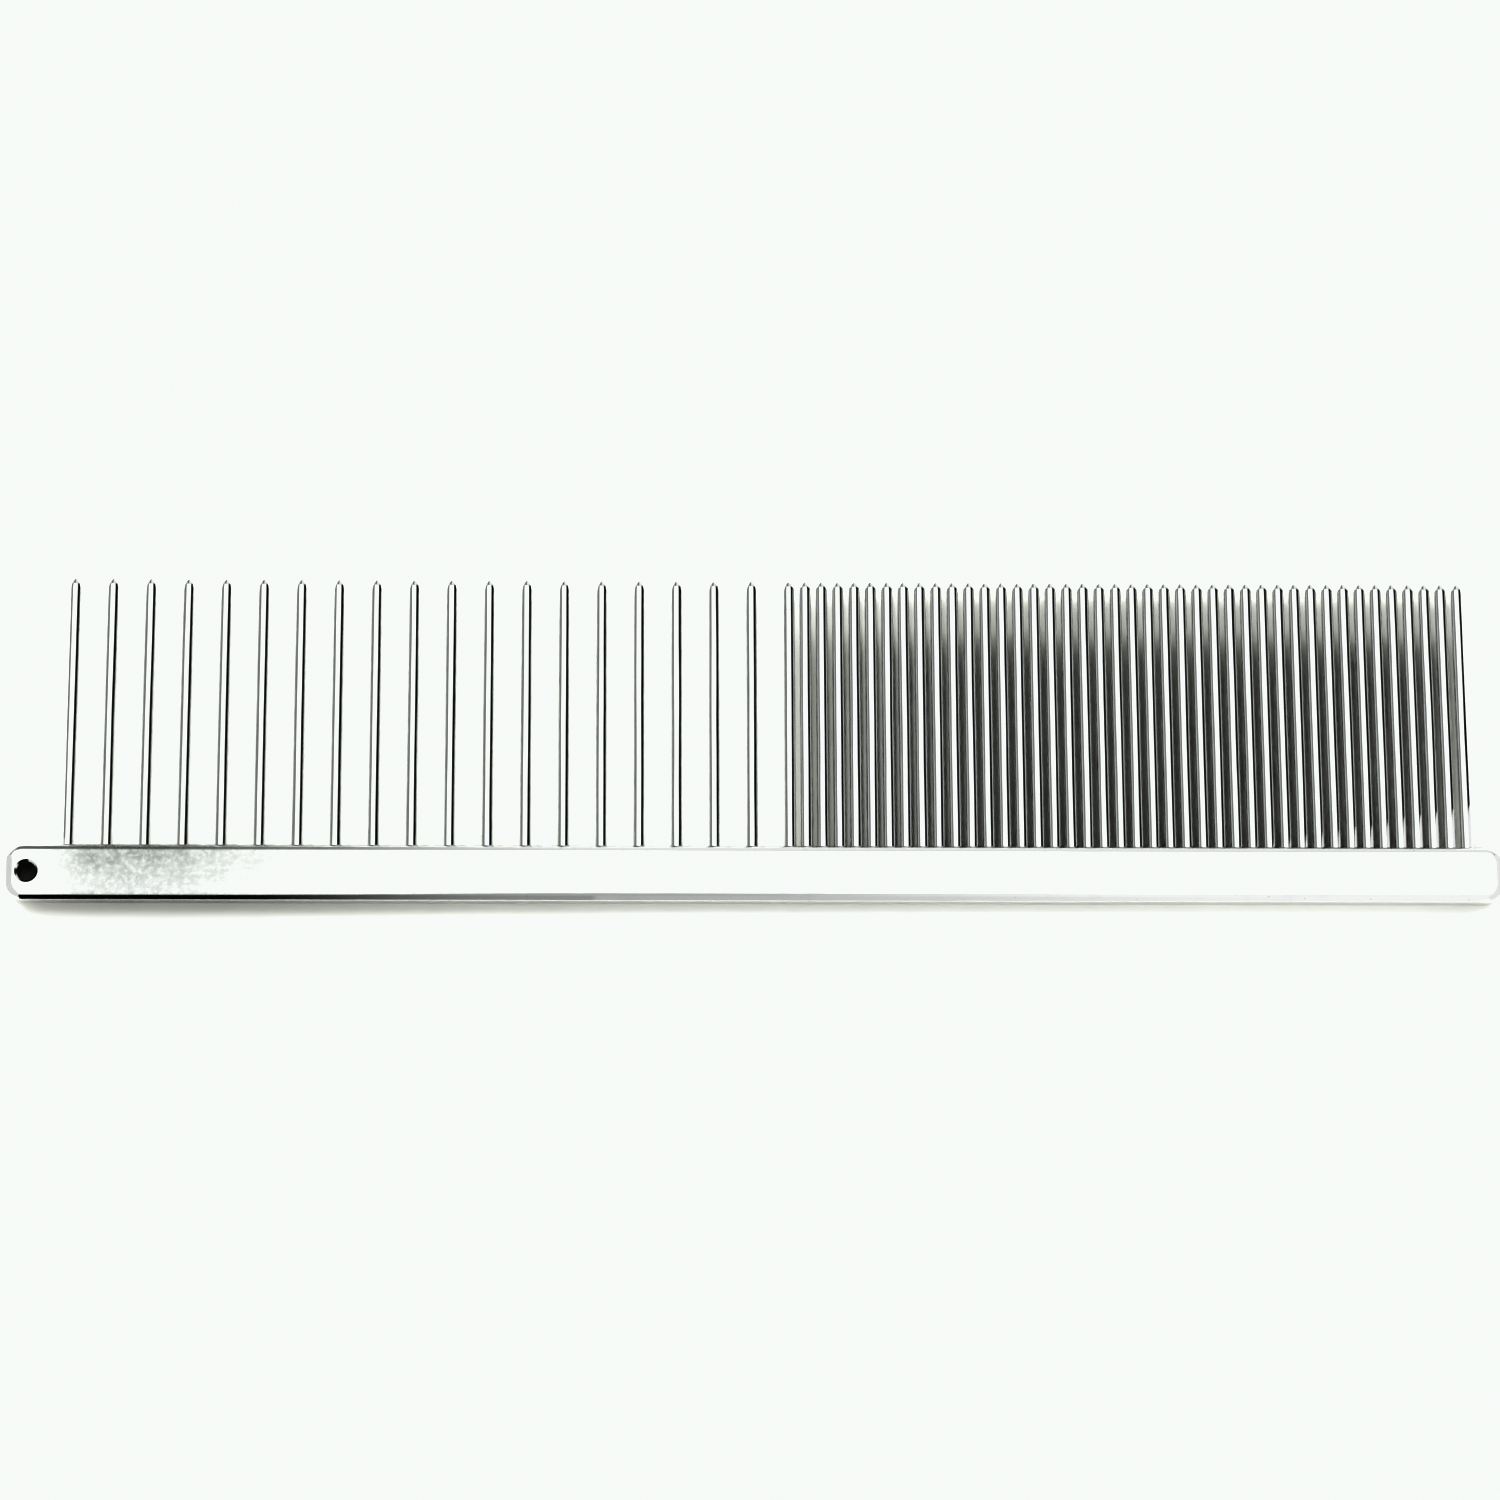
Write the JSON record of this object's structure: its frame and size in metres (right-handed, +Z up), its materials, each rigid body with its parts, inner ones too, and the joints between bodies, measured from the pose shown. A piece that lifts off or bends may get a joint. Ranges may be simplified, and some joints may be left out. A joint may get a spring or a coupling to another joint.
{
  "type": "grooming comb",
  "caption": "Bar-spined steel grooming comb, half coarse and half fine round pins pressed into one edge, with a hanging hole at the coarse end.",
  "frame": {"origin": "on the surface that the comb lies on, under the middle of its outline", "axes": "+X along the spine away from the hanging hole, +Y from the spine to the pin tips, +Z up through the thickness"},
  "size_m": [0.1906, 0.0422, 0.004],
  "materials": {
    "spine_chrome": "bright polished plate",
    "pin_chrome": "bright polished plate"
  },
  "bodies": {
    "root": {"spine": "spine_chrome", "coarse_pin_01": "pin_chrome", "coarse_pin_02": "pin_chrome", "coarse_pin_03": "pin_chrome", "coarse_pin_04": "pin_chrome", "coarse_pin_05": "pin_chrome", "coarse_pin_06": "pin_chrome", "coarse_pin_07": "pin_chrome", "coarse_pin_08": "pin_chrome", "coarse_pin_09": "pin_chrome", "coarse_pin_10": "pin_chrome", "coarse_pin_11": "pin_chrome", "coarse_pin_12": "pin_chrome", "coarse_pin_13": "pin_chrome", "coarse_pin_14": "pin_chrome", "coarse_pin_15": "pin_chrome", "coarse_pin_16": "pin_chrome", "coarse_pin_17": "pin_chrome", "coarse_pin_18": "pin_chrome", "coarse_pin_19": "pin_chrome", "fine_pins_01_02": "pin_chrome", "fine_pins_03_04": "pin_chrome", "fine_pins_05_06": "pin_chrome", "fine_pins_07_08": "pin_chrome", "fine_pins_09_10": "pin_chrome", "fine_pins_11_12": "pin_chrome", "fine_pins_13_14": "pin_chrome", "fine_pins_15_16": "pin_chrome", "fine_pins_17_18": "pin_chrome", "fine_pins_19_20": "pin_chrome", "fine_pins_21_22": "pin_chrome", "fine_pins_23_24": "pin_chrome", "fine_pins_25_26": "pin_chrome", "fine_pins_27_28": "pin_chrome", "fine_pins_29_30": "pin_chrome", "fine_pins_31_32": "pin_chrome", "fine_pins_33_34": "pin_chrome", "fine_pins_35_36": "pin_chrome", "fine_pins_37_38": "pin_chrome", "fine_pins_39_40": "pin_chrome", "fine_pins_41_42": "pin_chrome"}
  },
  "joints": []
}
